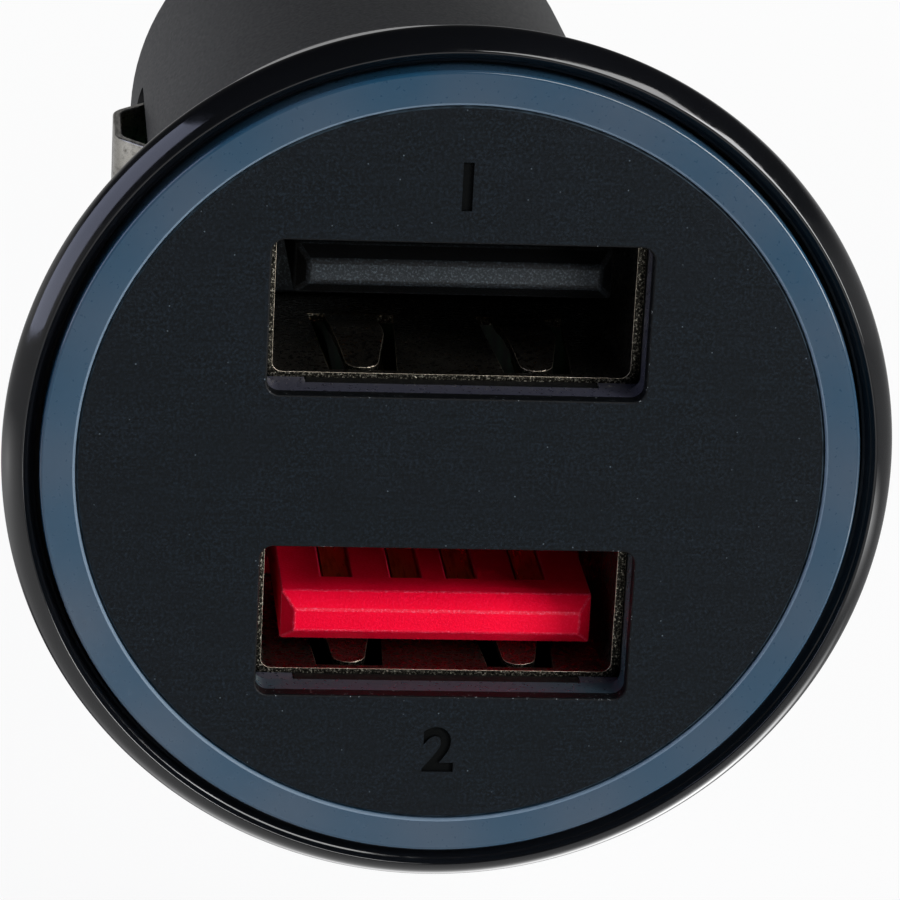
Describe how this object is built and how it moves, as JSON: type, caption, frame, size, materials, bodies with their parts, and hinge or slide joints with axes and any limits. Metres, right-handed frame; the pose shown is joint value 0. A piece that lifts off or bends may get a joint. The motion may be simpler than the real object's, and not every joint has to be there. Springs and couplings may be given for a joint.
{
  "type": "usb car charger",
  "caption": "Round in-car charger with two USB-A ports in a flared head, a translucent light ring and a slotted plug barrel with sprung contacts.",
  "frame": {"origin": "centre of the shoulder plane, where the head stops against the mouth of the socket, on the axis of the plug barrel", "axes": "+Y along the axis of the plug towards its nose; -Y out of the face with the ports; +Z from the lower port to the upper port; +X to the right for a viewer of the face"},
  "size_m": [0.031, 0.0636, 0.031],
  "materials": {
    "face_plate": "dark anodised, finely brushed",
    "light_guide": "translucent, satin",
    "head_housing": "polished black",
    "front_frame": "black moulded",
    "led_board": "glass-fibre board with green solder mask",
    "leds": "white lamp bodies",
    "led_board_pins": "gilt",
    "port_board": "glass-fibre board with green solder mask",
    "receptacle_shells": "nickel plated, stamped",
    "upper_insulator": "dark grey moulded",
    "lower_insulator": "crimson moulded",
    "port_contacts": "gilt",
    "main_board": "glass-fibre board with green solder mask",
    "inductors": "pressed ferrite, matt",
    "capacitors": "drawn can",
    "chips": "black moulded package",
    "ceramic_capacitors": "fired ceramic",
    "chip_resistors": "glazed black",
    "barrel_housing": "black moulded, fine grain",
    "side_contacts": "nickel-plated spring strip",
    "positive_terminal": "bright",
    "contact_spring": "spring wire",
    "centre_contact": "nickel-plated brass, turned",
    "nose_cap": "black moulded"
  },
  "bodies": {
    "charger": {"head_housing": "head_housing", "face_plate": "face_plate", "light_guide": "light_guide", "front_frame": "front_frame", "led_board": "led_board", "leds": "leds", "led_board_pins": "led_board_pins", "port_board": "port_board", "upper_receptacle_shell": "receptacle_shells", "lower_receptacle_shell": "receptacle_shells", "upper_insulator": "upper_insulator", "lower_insulator": "lower_insulator", "upper_contacts": "port_contacts", "lower_contacts": "port_contacts", "main_board": "main_board", "power_inductor": "inductors", "output_inductor": "inductors", "capacitors": "capacitors", "controller_chips": "chips", "power_transistors": "chips", "ceramic_capacitors": "ceramic_capacitors", "chip_resistors": "chip_resistors", "barrel_housing": "barrel_housing", "positive_terminal": "positive_terminal", "contact_spring": "contact_spring", "nose_cap": "nose_cap"},
    "centre_contact": {"centre_contact": "centre_contact"},
    "side_contact_right": {"side_contact_right": "side_contacts"},
    "side_contact_left": {"side_contact_left": "side_contacts"}
  },
  "joints": [
    {"name": "centre_contact_press", "type": "slide", "parent": "charger", "child": "centre_contact", "axis": [0, -1, 0], "range_m": [0, 0.003], "stiffness_N_per_m": 600, "springref_m": -0.002, "deforming": ["contact_spring"]},
    {"name": "side_contact_right_press", "type": "slide", "parent": "charger", "child": "side_contact_right", "axis": [-1, 0, 0], "range_m": [0, 0.001], "stiffness_N_per_m": 600, "springref_m": -0.001},
    {"name": "side_contact_left_press", "type": "slide", "parent": "charger", "child": "side_contact_left", "axis": [1, 0, 0], "range_m": [0, 0.001], "stiffness_N_per_m": 600, "springref_m": -0.001}
  ]
}
